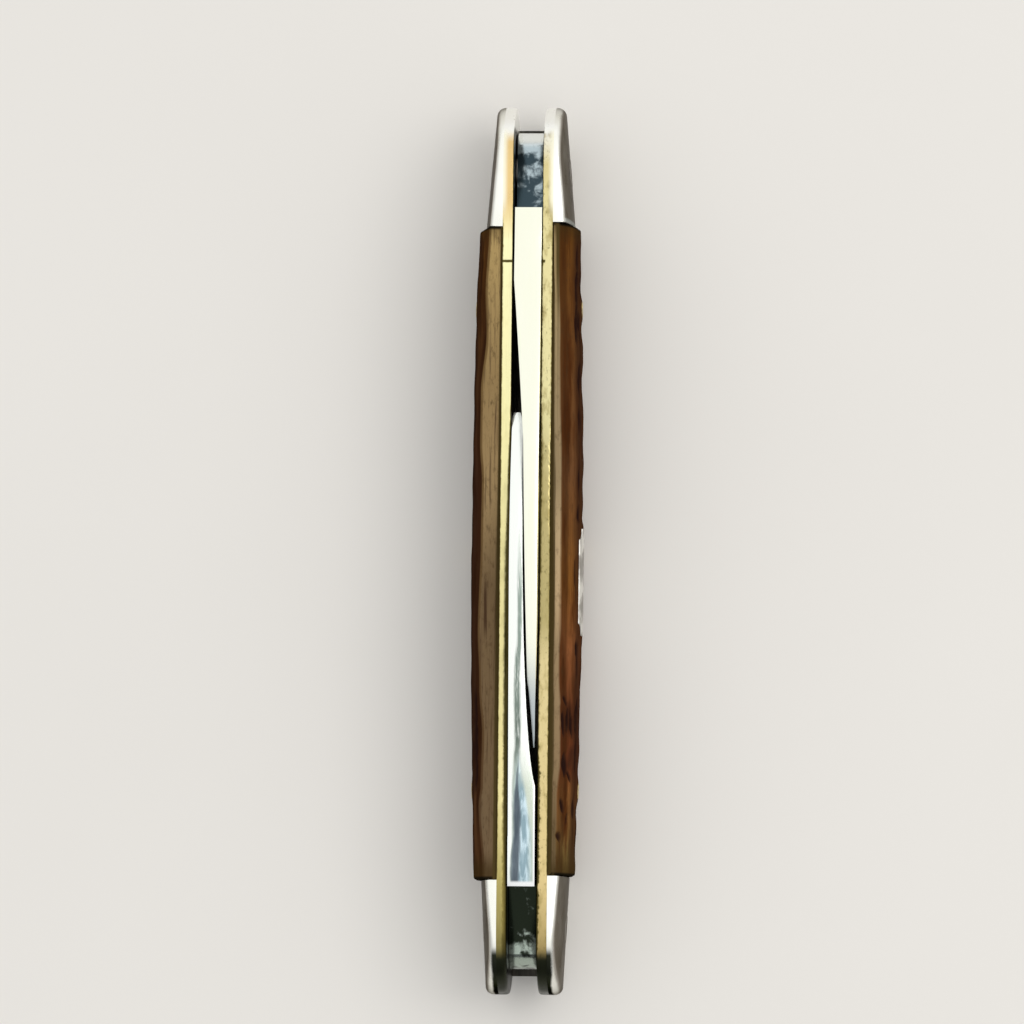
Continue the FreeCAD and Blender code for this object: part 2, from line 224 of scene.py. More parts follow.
# Stations across a liner in millimetres, crowded at its two worn edges.
LINER_STATIONS = [
    0, 0.015, 0.04, 0.08, 0.13, 0.18, 0.24, 0.3, 0.38, 0.46, 0.54, 0.62, 0.7, 0.755, 0.785, 0.81,
]
LINER_ROUND_STEPS, LINER_TOP_CUTS, LINER_BACK_CUTS = 48, 640, 24
LINER_SHY = 0.0005 * mm
NICK_Y, NICK_HALF, NICK_DEPTH = 22.35 * mm, 0.13 * mm, 0.08 * mm
WORN_ENDS = [(33.4, 0.06), (34.9, 0.34)]
WORN_FALL, BITTEN_FALL = 0.6, 0.7
RIPPLE_STEPS, BITE_RIPPLE = (0.9, 0.4, 0.2), 0.35
GLINT_BRASS, BRIGHT_BRASS, GOLDEN_BRASS = (0.92, 0.91, 0.82), (0.96, 0.92, 0.54), (0.8, 0.58, 0.26)
BROWN_BRASS, FILED_BRASS, OLIVE_BRASS = (0.33, 0.26, 0.09), (0.55, 0.45, 0.2), (0.1, 0.08, 0.022)
BRASS_SHADE_BY_BONE, BRASS_HIGHLIGHT_BY_SILVER = (0.2, 0.155, 0.045), (0.93, 0.9, 0.72)
HORN_GLINT, HORN_DARK_REFLECTION, SLOT_SHADE_AND_GRIME = (0.96, 0.96, 0.92), (0.022, 0.025, 0.014), (0.02, 0.016, 0.008)


def rounded(distance, radius):
    """How far a rounded edge has fallen away at a distance inside it."""
    short = min(max(radius - distance, 0.0), radius)
    return radius - math.sqrt(radius ** 2 - short ** 2)


def eased(place, stops):
    """A value that runs smoothly from stop to stop, each a place and a value in millimetres."""
    at = place / mm
    if at < stops[0][0]:
        return stops[0][1] * mm
    for (low, first), (high, second) in zip(stops, stops[1:]):
        if at < high:
            share = (at - low) / (high - low)
            return (first + (second - first) * share ** 2 * (3 - 2 * share)) * mm
    return stops[-1][1] * mm


def grow(bm, edges, step):
    """Draws a loop of edges out by one step and returns the new loop."""
    new = bmesh.ops.extrude_edge_only(bm, edges=edges)["geom"]
    verts = [item for item in new if isinstance(item, bmesh.types.BMVert)]
    bmesh.ops.translate(bm, verts=verts, vec=step)
    moved = set(verts)
    return [
        item for item in new
        if isinstance(item, bmesh.types.BMEdge) and moved.issuperset(item.verts)
    ]


def paint(piece, name, values, domain="POINT"):
    """Gives each point or face of a piece a value that its finish can read."""
    layer = piece.data.attributes.new(name, "FLOAT", domain)
    layer.data.foreach_set("value", numpy.array(values, numpy.float32))


def plate():
    """A flat plate with the handle's outline, cut finely along its top edge and across its thickness."""
    bm = bmesh.new()
    turn = dict(axis=(1, 0, 0), angle=math.pi, steps=LINER_ROUND_STEPS)
    main_pivot, pen_pivot = ((SLOT_HALF, y, PIVOT_Z) for y in (PIVOT_Y, -PIVOT_Y))
    back = bm.verts.new((SLOT_HALF, PIVOT_Y, 0))
    top = bmesh.ops.spin(bm, geom=[back], cent=main_pivot, **turn)["geom_last"][0]
    top_edge = bmesh.ops.extrude_vert_indiv(bm, verts=[top])
    far_top = top_edge["verts"][0]
    far_top.co.y = -PIVOT_Y
    far_back = bmesh.ops.spin(bm, geom=[far_top], cent=pen_pivot, **turn)["geom_last"][0]
    back_edge = bm.edges.new((far_back, back))
    bmesh.ops.subdivide_edges(bm, edges=top_edge["edges"], cuts=LINER_TOP_CUTS)
    bmesh.ops.subdivide_edges(bm, edges=[back_edge], cuts=LINER_BACK_CUTS)
    loop = list(bm.edges)
    bmesh.ops.edgeloop_fill(bm, edges=loop)
    for low, high in zip(LINER_STATIONS, LINER_STATIONS[1:]):
        loop = grow(bm, loop, ((high - low) * mm, 0, 0))
    bmesh.ops.edgeloop_fill(bm, edges=loop)
    return bm


def liner(name, side, material, worn_edge, ripple, bitten, nick_width):
    """A plate whose top edge is rubbed back unevenly on the slot side and bitten on the cover side."""
    bm = plate()
    dark = []
    for vert in bm.verts:
        y = vert.co.y
        nearest = Vector((vert.co.x, min(max(y, -PIVOT_Y), PIVOT_Y), PIVOT_Z))
        outward = (vert.co - nearest).normalized()
        from_slot, from_cover = vert.co.x - SLOT_HALF, LINER_OUT - vert.co.x
        width, bite, nicked = eased(abs(y), WORN_ENDS), eased(y, bitten), 0.0
        if vert.co.z > PIVOT_Z:
            wave = sum(2 * noise.noise((y / (step * mm), 5 * side, 3)) for step in RIPPLE_STEPS)
            width = max(eased(y, worn_edge) + eased(y, ripple) * wave, width)
            bite *= 1 + BITE_RIPPLE * wave
            if from_slot < nick_width:
                nicked = max(0.0, 1 - abs(y - NICK_Y) / NICK_HALF)
        worn_away = WORN_FALL * rounded(from_slot, width)
        bitten_away = BITTEN_FALL * rounded(from_cover, max(bite, MERGE_DISTANCE))
        vert.co -= outward * (worn_away + bitten_away + NICK_DEPTH * nicked + LINER_SHY)
        dark.append(max(1 - from_slot / width, nicked, 0.0))
    bmesh.ops.scale(bm, vec=(side, 1, 1), verts=bm.verts)
    bmesh.ops.recalc_face_normals(bm, faces=bm.faces)
    piece = fit(name, bm, material, "handle", name.replace("_plate", "_liner"))
    paint(piece, "worn", dark)


def brass(name, mottle, ragged, tones):
    """Old brass: its tone drifts along the handle, and it is olive on worn edges. Painted shade blackens it
    in the slot and darkens it along the bone; painted highlights whiten it beside the bolsters and at the
    main-end horns; a painted dark reflection darkens the pen-end horns.
    """
    finish = Finish(name, Metallic=1.0)
    cloud = finish.grain((1.3, 0.5, 1.3), detail=5)
    filed = finish.grain((14, 0.6, 14), detail=3, shift=3)
    fleck = finish.grain((5, 2.6, 5), detail=3, shift=9)
    patchy = finish.tint(finish.rise(cloud, 0.5, 0.72), finish.along(*tones), BROWN_BRASS, most=mottle)
    streaked = finish.tint(finish.rise(filed, 0.55, 0.85), patchy, FILED_BRASS, most=0.5)
    waver = finish.times(finish.plus(fleck, -0.5), ragged)
    on_worn_edge = finish.rise(finish.plus(finish.painted("worn"), waver), 0.05, 0.5)
    olive = finish.tint(on_worn_edge, streaked, OLIVE_BRASS)
    across = finish.away(finish.x)
    # Painted shade darkens the brass along its edge beside the bone.
    by_cover = finish.rise(finish.plus(across, finish.times(fleck, 0.14)), 1.93, 2.03)
    by_bone = finish.times(by_cover, finish.rise(finish.away(finish.y), 26.0, 25.2))
    shaded_joint = finish.tint(by_bone, olive, BRASS_SHADE_BY_BONE)
    # A painted highlight whitens the brass beside the bolsters, so it runs on into their bright edge.
    by_silver = finish.times(finish.rise(across, 1.5, 1.95), finish.rise(finish.y, 25.5, 27.5))
    highlighted_by_silver = finish.tint(by_silver, shaded_joint, BRASS_HIGHLIGHT_BY_SILVER)
    # A painted glint whitens the horn tips at the main end.
    polished_and_lit = finish.tint(finish.rise(finish.y, 32.1, 33.2), highlighted_by_silver, HORN_GLINT)
    # A painted dark reflection darkens the horns at the pen end.
    stain_and_dark_reflection = finish.tint(finish.rise(finish.y, -31.3, -32.4), polished_and_lit, HORN_DARK_REFLECTION)
    # Painted shade, with some grime, blackens the slot's inner faces, short of the main-end horn tips.
    in_slot = finish.times(finish.rise(across, 1.19, 1.165), finish.rise(finish.z, 10.2, 9.9))
    behind_horns = finish.times(in_slot, finish.rise(finish.y, 33.3, 32.7))
    return finish.wear(
        colour=finish.tint(behind_horns, stain_and_dark_reflection, SLOT_SHADE_AND_GRIME),
        roughness=finish.rise(cloud, -0.5, 2.0),
        height=finish.plus(filed, fleck),
        depth=0.004 * mm,
    )


mark_brass = brass(
    "mark_brass", mottle=0.75, ragged=1.2,
    tones=[
        (-31.5, (0.4, 0.3, 0.12)), (-26.0, (0.72, 0.57, 0.27)), (-9.0, (0.72, 0.6, 0.31)),
        (-6.0, (0.5, 0.42, 0.19)), (5.0, (0.52, 0.44, 0.2)), (11.0, (0.8, 0.73, 0.39)),
        # The pale last stop is a painted glint on the horn tip.
        (24.0, (0.78, 0.7, 0.36)), (30.0, (0.7, 0.6, 0.3)), (32.6, GLINT_BRASS),
    ],
)
pile_brass = brass(
    "pile_brass", mottle=0.15, ragged=0.35,
    tones=[
        (-31.0, (0.25, 0.21, 0.075)), (-26.0, (0.44, 0.37, 0.13)), (-20.0, (0.8, 0.7, 0.34)),
        (0.0, (0.84, 0.76, 0.37)), (24.0, BRIGHT_BRASS), (27.0, GOLDEN_BRASS),
        # The pale last stop is a painted glint on the horn tip.
        (31.8, GOLDEN_BRASS), (32.8, GLINT_BRASS),
    ],
)
liner(
    "mark_plate", 1, mark_brass,
    worn_edge=[
        (-33, 0.1), (-30, 0.22), (-18, 0.28), (-16, 0.1), (-8, 0.1), (-6, 0.18), (7, 0.18), (12, 0.1),
        (30, 0.06),
    ],
    ripple=[(-28, 0.05), (-17, 0.05), (-15, 0.01), (30, 0.01)],
    bitten=[(-26, 0.04), (0, 0.04), (2, 0.16), (8, 0.16), (10, 0.04), (25.3, 0.04), (25.5, 0.0)],
    nick_width=0.22 * mm,
)
liner(
    "pile_plate", -1, pile_brass,
    worn_edge=[(-31, 0.5), (-20, 0.54), (-2, 0.52), (5, 0.3), (12, 0.09), (30, 0.06)],
    ripple=[(-30, 0.01), (30, 0.0)],
    bitten=[(-26.2, 0.0), (-26, 0.05), (25, 0.05), (25.2, 0.0)],
    nick_width=LINER_OUT,
)


# Bolsters
# Four nickel silver caps on the handle's ends, pinned by the pivots. Their faces are gently crowned and
# taper to the round ends. The filed top edges stay bright. The crowned faces are grey, partly with age
# and partly as a painted dark reflection.

SIDES, ENDS = (("mark", 1), ("pile", -1)), (("main", 1), ("pen", -1))
BOLSTER_ROOT_Y, BOLSTER_TAPER, PEN_FLANK_TAPER = 25.7 * mm, 0.085, 0.05
BOLSTER_EDGE, BOLSTER_CROWN = 2.88 * mm, 3.46 * mm
BOLSTER_EDGE_ROUND, HORN_ROUND, ROOT_EDGE_ROUND = 0.32 * mm, 0.6 * mm, 0.07 * mm
ROOTS = dict(mark_main=25.45 * mm, mark_pen=25.75 * mm, pile_main=25.1 * mm, pile_pen=26.1 * mm)
# Rings of a cap in millimetres from its rim and from its root, crowded where the edges are rounded.
FROM_RIM = [4.4, 3.7, 3.0, 2.3, 1.7, 1.2, 0.8, 0.55, 0.4, 0.32, 0.25, 0.19, 0.13, 0.08, 0.04, 0.015, 0.0005]
FROM_ROOT = [3.4, 2.7, 2.0, 1.4, 0.9, 0.5, 0.25, 0.12, 0.07, 0.04, 0.018, 0.005, 0]
BOLSTER_ROUND_STEPS = 64
GREY_SHEEN = (0.17, 0.155, 0.135, 1)
DARK_SILVER, GREY_SILVER, SCRATCHED_SILVER = (0.4, 0.38, 0.345), (0.46, 0.44, 0.405), (0.56, 0.545, 0.51)
FILED_SILVER, RUBBED_SILVER, ROOT_GLINT = (0.93, 0.93, 0.86), (0.98, 0.98, 0.93), (0.84, 0.89, 0.87)
SILVER_DARK_REFLECTION = (0.03, 0.033, 0.022)


def crown(edge, top, z):
    """Distance from the middle plane of a crowned face that runs from flush edge to flush edge."""
    rise = top - edge
    radius = (END_RADIUS ** 2 + rise ** 2) / (2 * rise)
    return top - radius + math.sqrt(radius ** 2 - (z - PIVOT_Z) ** 2)


def bolster_face(y, z):
    """The crowned, tapered face, whose flank stays fuller at the pen end."""
    past_root = abs(y) - BOLSTER_ROOT_Y
    flank_taper = PEN_FLANK_TAPER if y < 0 else BOLSTER_TAPER
    return crown(BOLSTER_EDGE - BOLSTER_TAPER * past_root, BOLSTER_CROWN - flank_taper * past_root, z)


def bolster(name, side, end, root, material):
    """A cap from its root to the round end, where its rim is rounded most."""
    bm = bmesh.new()
    tip = bm.verts.new((0, PIVOT_Y, PIVOT_Z))
    for distance in FROM_RIM:
        tip = bmesh.ops.extrude_vert_indiv(bm, verts=[tip])["verts"][0]
        tip.co.z = distance * mm
    bmesh.ops.spin(
        bm, geom=list(bm.verts) + list(bm.edges), cent=(0, PIVOT_Y, PIVOT_Z), axis=(1, 0, 0), angle=math.pi,
        steps=BOLSTER_ROUND_STEPS,
    )
    bmesh.ops.remove_doubles(bm, verts=bm.verts, dist=MERGE_DISTANCE)
    loop = [
        edge for edge in bm.edges
        if all(abs(vert.co.y - PIVOT_Y) < MERGE_DISTANCE for vert in edge.verts)
    ]
    stations = [(PIVOT_Y - root) / mm, *FROM_ROOT]
    for far, near in zip(stations, stations[1:]):
        loop = grow(bm, loop, (0, (near - far) * mm, 0))
    for vert in bm.verts:
        y, z = vert.co.y, vert.co.z
        past_pivot = max(y - PIVOT_Y, 0)
        from_outline = END_RADIUS - math.hypot(past_pivot, z - PIVOT_Z)
        edge_round = BOLSTER_EDGE_ROUND + (HORN_ROUND - BOLSTER_EDGE_ROUND) * (past_pivot / END_RADIUS) ** 2
        vert.co.x = (
            bolster_face(end * y, z)
            - rounded(max(from_outline, 0), edge_round)
            - rounded(max(y - root, 0), ROOT_EDGE_ROUND)
        )
    rim = grow(bm, [edge for edge in bm.edges if edge.is_boundary], (0, 0, 0))
    for vert in {vert for edge in rim for vert in edge.verts}:
        vert.co.x = LINER_OUT
    bmesh.ops.edgeloop_fill(bm, edges=rim)
    bmesh.ops.scale(bm, vec=(side, end, 1), verts=bm.verts)
    bmesh.ops.recalc_face_normals(bm, faces=bm.faces)
    fit(name, bm, material, "handle", name.replace("_cap", "_bolster"))


def old_silver():
    """Nickel silver: bright where it was filed flush, with a painted glint at the root of the mark-side
    main cap. The crowned face is grey with age and with a painted dark reflection, and the pen-end horns
    carry a painted dark reflection.
    """
    finish = Finish("nickel_silver", Metallic=1.0, Specular_Tint=GREY_SHEEN)
    cloud = finish.grain((0.5, 0.3, 0.5), detail=3, shift=5)
    scratch = finish.grain((3, 22, 6), detail=3, distortion=0.6)
    past_pivot = finish.work("MAXIMUM", finish.plus(finish.away(finish.y), -PIVOT_Y / mm), 0.0)
    up_from_pivot = finish.away(finish.z, PIVOT_Z / mm)
    squares = finish.plus(finish.work("POWER", past_pivot, 2.0), finish.work("POWER", up_from_pivot, 2.0))
    from_pivots = finish.work("SQRT", squares)
    on_edge = finish.rise(finish.plus(from_pivots, finish.times(cloud, 0.2)), 5.0, 5.2)
    # The crowned face's grey is partly age and partly a painted dark reflection.
    grey = finish.tint(finish.rise(cloud, 0.25, 0.75), DARK_SILVER, GREY_SILVER)
    scratched = finish.tint(finish.rise(scratch, 0.6, 0.8), grey, SCRATCHED_SILVER)
    rubbed = finish.tint(finish.rise(cloud, 0.3, 0.7), FILED_SILVER, RUBBED_SILVER)
    metal = finish.tint(on_edge, scratched, rubbed)
    on_root = finish.times(finish.band(finish.y, 25.62, 0.26), finish.rise(finish.x, 2.8, 3.0))
    glinting = finish.tint(on_root, metal, ROOT_GLINT)
    # A painted dark reflection darkens the pen-end horns next to the liners.
    near_liner = finish.rise(finish.plus(finish.away(finish.x), finish.times(cloud, 0.4)), 2.6, 2.4)
    on_pen_horn = finish.times(finish.rise(finish.y, -31.2, -32.0), near_liner)
    return finish.wear(
        colour=finish.tint(on_pen_horn, glinting, SILVER_DARK_REFLECTION),
        roughness=finish.rise(cloud, -0.9, 2.9),
        height=scratch,
        depth=0.003 * mm,
    )


nickel_silver = old_silver()
for side_name, side in SIDES:
    for end_name, end in ENDS:
        place = f"{side_name}_{end_name}"
        bolster(f"{place}_cap", side, end, ROOTS[place], nickel_silver)


# Bone scales
# Two covers sawn from shin bone, bowed and crowned, and gouged along their length like bark before they
# were dyed brown. They are pinned to the liners and filed flush, which bares the paler bone.

# The lists give the filed edge's distance from the middle plane and the groove's width along the handle.
MARK_SCALE = dict(
    top=4.32 * mm, edge_round=0.35 * mm, hollow=0.13 * mm,
    edge=[
        (-25.5, 2.68), (-19.5, 2.72), (-17, 2.94), (-13, 2.93), (-10, 2.8), (-5.4, 2.88), (-0.6, 2.88),
        (4, 2.86), (11.7, 2.7), (16.5, 2.66), (23, 2.45), (25.5, 2.4),
    ],
    groove=[(-26, 0.4), (-6, 0.42), (4, 0.28), (26, 0.2)],
)
PILE_SCALE = dict(
    top=4.497 * mm, edge_round=0.15 * mm, hollow=0.07 * mm,
    edge=[
        (-25.5, 3.05), (-20.3, 3.4), (-18.7, 3.25), (-14.8, 3.17), (-11, 3.44), (-6.5, 3.6), (0, 3.43),
        (5, 3.38), (8, 3.56), (12, 3.54), (16.5, 3.12), (20, 3.22), (25.3, 2.97),
    ],
    groove=[(-26, 0.34), (-4, 0.3), (8, 0.2), (26, 0.16)],
)
SCALE_BOW, SCALE_END_ROUND, END_GAP = 0.42 * mm, 0.22 * mm, 0.05 * mm
ALONG_SEGMENTS, UP_SEGMENTS, CROWDING = 430, 88, 0.55
# The groove's steps towards the liner: a share of its width, and how deep it is there in millimetres.
GROOVE_STEPS, GROOVE_REACH = ((1.3, 0.0), (1.0, 0.02), (0.6, 0.08), (0.25, 0.15), (0.0, 0.17)), 0.4 * mm
PIN_Y, SPRING_PIN_Z, SHIELD_Y = 19.0 * mm, 1.6 * mm, -2.6 * mm
SHIELD_LENGTH, SHIELD_WIDTH = 8.4 * mm, 4.2 * mm
PIN_CLEAR, SPRING_PIN_CLEAR, SHIELD_CLEAR = 0.75 * mm, 0.9 * mm, 0.6 * mm
PIN_FLAT_REACH, SHIELD_FLAT_REACH = 1.9, 1.5
HOLLOW_STEPS = (5.5, 2.4)
RAGGED_LENGTH, RAGGED_WIDTH, RAGGEDNESS = 1.1 * mm, 0.5 * mm, 0.5
# The rows of jigging, in millimetres up the flank and along it.
JIG_ROWS, FIRST_ROW, ROW_STEP, JIG_FROM, JIG_TO = 5, 1.4, 1.45, -25.0, 24.0
FULL_CUT, BONE_MERGE = 0.25 * mm, 0.002 * mm
DEEP_DYE_AND_SHADE, LIP_SHADE, PORE_DARK, STREAK_DARK = (
    (0.03, 0.013, 0.008), (0.04, 0.014, 0.005), (0.06, 0.04, 0.022), (0.045, 0.022, 0.012)
)
CUT_DARK, AGE_DARK, END_SHADE, JOINT_SHADOW, GROOVE_SHADE = (
    (0.02, 0.008, 0.006), (0.05, 0.027, 0.012), (0.045, 0.026, 0.008), (0.012, 0.009, 0.005),
    (0.07, 0.048, 0.016),
)


def scale_face(size, y, z):
    """The crowned face, bowed along the handle, whose filed edge wanders in and out."""
    return crown(eased(y, size["edge"]), size["top"] - SCALE_BOW * (y / BOLSTER_ROOT_Y) ** 2, z)


def jig_cuts(seed):
    """Long gouge cuts in uneven rows, each a chain of bites like those that are listed below."""
    hand = random.Random(seed)
    bites = []
    for row in range(JIG_ROWS):
        along = JIG_FROM + hand.uniform(0, 4)
        while along < JIG_TO:
            height = FIRST_ROW + row * ROW_STEP + hand.uniform(-0.3, 0.3)
            lean = hand.uniform(-0.14, 0.14)
            for _ in range(hand.randint(2, 5)):
                half_length = hand.uniform(0.9, 2.2)
                half_width = hand.uniform(0.26, 0.66)
                depth = hand.uniform(0.1, 0.34)
                slant = lean + hand.uniform(-0.12, 0.12)
                bites.append((along + half_length, height, half_length, half_width, depth, slant))
                along += half_length * hand.uniform(0.9, 1.5)
                height += half_length * lean + hand.uniform(-0.12, 0.12)
            along += hand.uniform(0.8, 3.0)
    return bites


def bite_depth(y, z, bites):
    """How deep the bites go at each point, with ragged edges."""
    ragged = numpy.array([
        RAGGEDNESS * noise.noise((along / RAGGED_LENGTH, up / RAGGED_WIDTH, 4)) for along, up in zip(y, z)
    ])
    depth = numpy.zeros(len(y))
    for *sizes, slant in bites:
        middle_y, middle_z, half_length, half_width, deepest = (size * mm for size in sizes)
        run = (y - middle_y) * math.cos(slant) + (z - middle_z) * math.sin(slant)
        over = (z - middle_z) * math.cos(slant) - (y - middle_y) * math.sin(slant)
        bite = deepest * (1 + ragged - (run / half_length) ** 2 - (over / half_width) ** 2)
        depth = numpy.maximum(depth, bite)
    return depth


def left_flat(y, z, has_shield):
    """1 around the pins and the shield, where nothing is carved, falling to 0 a little way off."""
    flat = PIN_FLAT_REACH - numpy.hypot(y, z - SPRING_PIN_Z) / SPRING_PIN_CLEAR
    for pin_y in (-PIN_Y, PIN_Y):
        flat = numpy.maximum(flat, PIN_FLAT_REACH - numpy.hypot(y - pin_y, z - PIVOT_Z) / PIN_CLEAR)
    if has_shield:
        past_end = numpy.maximum(abs(y - SHIELD_Y) - SHIELD_LENGTH / 2, 0)
        past_side = numpy.maximum(abs(z - PIVOT_Z) - SHIELD_WIDTH / 2, 0)
        flat = numpy.maximum(flat, SHIELD_FLAT_REACH - numpy.hypot(past_end, past_side) / SHIELD_CLEAR)
    return numpy.clip(flat, 0, 1)


def hollow_depth(y, z, deepest, side):
    """How deep the gentle hollows of the flank are at each point, fading out at its edges."""
    swell = numpy.array([
        sum(noise.noise((along / (step * mm), 7 * side, 1)) for step in HOLLOW_STEPS) for along in y
    ])
    return deepest * numpy.clip(0.5 + swell, 0, 1) * (1 - ((z - PIVOT_Z) / END_RADIUS) ** 2)


def scale(name, side, size, material, bites, has_shield):
    """A carved scale, with a shrinkage groove beside the liner."""
    bm = bmesh.new()
    cut_depth, inset, to_end = (
        bm.verts.layers.float.new(layer) for layer in ("cut_depth", "inset", "to_end")
    )
    bmesh.ops.create_grid(bm, x_segments=ALONG_SEGMENTS, y_segments=UP_SEGMENTS, size=1)
    main_root, pen_root = (ROOTS[name.replace("bone", end_name)] for end_name, _ in ENDS)
    half_length, middle = (main_root + pen_root) / 2 - END_GAP, (main_root - pen_root) / 2
    for vert in bm.verts:
        along, up = vert.co.x, vert.co.y
        crowded = CROWDING * math.sin(up * math.pi / 2) + (1 - CROWDING) * up
        vert.co = (0, middle + along * half_length, PIVOT_Z + crowded * END_RADIUS)
    y = numpy.array([vert.co.y for vert in bm.verts])
    z = numpy.array([vert.co.z for vert in bm.verts])
    carved = 1 - left_flat(y, z, has_shield)
    cut = bite_depth(y, z, bites) * carved
    hollow = hollow_depth(y, z, size["hollow"], side) * carved
    for index, vert in enumerate(bm.verts):
        from_edge = END_RADIUS - abs(vert.co.z - PIVOT_Z)
        from_end = half_length - abs(vert.co.y - middle)
        vert.co.x = (
            scale_face(size, vert.co.y, vert.co.z)
            - max(cut[index], hollow[index])
            - rounded(from_edge, size["edge_round"])
            - rounded(max(from_end, 0), SCALE_END_ROUND)
        )
        vert[cut_depth] = cut[index] / FULL_CUT
    rim = [edge for edge in bm.edges if edge.is_boundary]
    for share, drop in GROOVE_STEPS:
        rim = grow(bm, rim, (0, 0, 0))
        for vert in {vert for edge in rim for vert in edge.verts}:
            vert.co.x = min(vert.co.x, LINER_OUT + share * eased(vert.co.y, size["groove"]))
            height = vert.co.z - PIVOT_Z
            if abs(height) > END_RADIUS - GROOVE_REACH:
                vert.co.z = PIVOT_Z + math.copysign(END_RADIUS - drop * mm, height)
    bmesh.ops.edgeloop_fill(bm, edges=rim)
    for vert in bm.verts:
        vert[inset] = (eased(vert.co.y, size["edge"]) - vert.co.x) / mm
        vert[to_end] = (half_length - abs(vert.co.y - middle)) / mm
    bmesh.ops.scale(bm, vec=(side, 1, 1), verts=bm.verts)
    bmesh.ops.remove_doubles(bm, verts=bm.verts, dist=BONE_MERGE)
    bmesh.ops.recalc_face_normals(bm, faces=bm.faces)
    fit(name, bm, material, "handle", name.replace("_bone", "_scale"), sharp=50)


def bone(name, shift, flank, flank_dark, filed, filed_dark, lip, lip_width, streak=None):
    """Dyed bone: dark in the cuts, with tones that drift along the flank, the filed edge and its lip.
    Towards the flank's crown it is darker with deeper dye and painted shade; painted shade also darkens it
    just below the filed edge, towards the bolsters, at the joints and in the groove by the liner.
    """
    finish = Finish(name, Specular_IOR_Level=0.0)
    fibre = finish.grain((6, 0.16, 6), detail=5, distortion=0.3, shift=shift)
    cloud = finish.grain((0.7, 0.16, 0.7), detail=4, shift=shift + 7)
    pore = finish.grain((12, 1.4, 12), detail=2, shift=shift + 2)
    mottle = finish.grain((2.8, 1.1, 2.8), detail=6, roughness=0.7, shift=shift + 4)
    waver = finish.times(finish.plus(fibre, -0.5), 0.16)
    from_middle = finish.away(finish.z, PIVOT_Z / mm)
    uneven = finish.plus(from_middle, cloud)
    across = finish.plus(finish.away(finish.x), finish.times(waver, 0.8))

    ridge = finish.tint(finish.rise(cloud, 0.42, 0.68), finish.along(*flank), flank_dark)
    # Towards the flank's crown the bone is darker, with deeper dye and with painted shade where the flank
    # turns away.
    deep_and_shaded = finish.tint(finish.rise(uneven, 4.0, 2.7), ridge, DEEP_DYE_AND_SHADE, most=0.78)
    shaded = finish.tint(finish.band(uneven, 5.1, 0.7), deep_and_shaded, LIP_SHADE, most=0.6)
    dyed = finish.tint(finish.rise(fibre, 0.48, 0.78), shaded, flank_dark)

    streaked = finish.tint(finish.rise(fibre, 0.5, 0.72), finish.along(*filed), filed_dark)
    speckled = finish.tint(finish.rise(pore, 0.62, 0.8), streaked, PORE_DARK)
    on_lip = finish.rise(finish.plus(finish.painted("inset"), waver), lip_width + 0.05, lip_width - 0.05)
    flush = finish.tint(on_lip, speckled, finish.along(*lip))
    if streak:
        streak_x, streak_y = streak
        on_streak = finish.times(finish.band(across, streak_x, 0.16), finish.band(finish.y, streak_y, 3.0))
        flush = finish.tint(on_streak, flush, STREAK_DARK, most=0.85)

    faced = finish.tint(finish.rise(finish.plus(from_middle, waver), 4.98, 5.12), dyed, flush)
    cut = finish.painted("cut_depth")
    jigged = finish.tint(finish.rise(cut, 0.0, 0.9), faced, CUT_DARK)
    aged = finish.tint(finish.rise(mottle, 0.5, 0.7), jigged, AGE_DARK, most=0.45)
    # Painted shade darkens the bone towards the bolsters.
    shaded_by_bolster = finish.tint(finish.rise(finish.away(finish.y), 23.6, 25.6), aged, END_SHADE, most=0.75)
    # A painted shadow darkens the narrow joint against each bolster.
    shadowed_joint = finish.tint(finish.rise(finish.painted("to_end"), 0.3, 0.1), shaded_by_bolster, JOINT_SHADOW)
    # Painted shade darkens the groove beside the liner.
    in_groove = finish.times(finish.rise(from_middle, 5.15, 5.08), finish.rise(across, 2.6, 2.4))
    return finish.wear(
        colour=finish.tint(in_groove, shadowed_joint, GROOVE_SHADE),
        roughness=finish.rise(finish.plus(fibre, cut), -1.0, 3.0),
        height=finish.plus(fibre, pore),
        depth=0.015 * mm,
    )


# Bites in millimetres: place along the handle, height, half length, half width, depth, and a slant in
# radians. The listed ones are the deep gouges at the top edge, towards the pen end.
mark_bites = jig_cuts(4) + [
    (-13.4, 8.8, 1.9, 1.5, 0.12, 0.2),
    (-13.9, 9.8, 1.1, 0.34, 0.34, 0.1),
    (-13.6, 9.1, 1.2, 0.34, 0.38, -0.08),
    (-13.9, 8.3, 1.3, 0.4, 0.34, 0.12),
    (-12.1, 9.5, 0.7, 0.3, 0.26, 0.8),
    (-13.5, 7.3, 1.2, 0.4, 0.3, -0.1),
    (-16.7, 8.6, 1.5, 0.9, 0.12, -0.25),
    (-17.1, 9.5, 1.1, 0.6, 0.3, 0.15),
    (-17.9, 8.6, 0.8, 0.34, 0.24, 0.9),
    (-20.3, 9.5, 0.75, 0.4, 0.28, 0.4),
    (-21.3, 8.7, 0.7, 0.3, 0.2, -0.3),
    (-22.7, 9.9, 0.5, 0.36, 0.22, 0.3),
]
pile_bites = jig_cuts(9) + [
    (-12.6, 8.8, 2.0, 0.75, 0.26, 0.08),
    (-15.2, 8.5, 2.5, 0.95, 0.36, -0.05),
    (-17.9, 8.8, 1.8, 0.65, 0.3, 0.1),
]
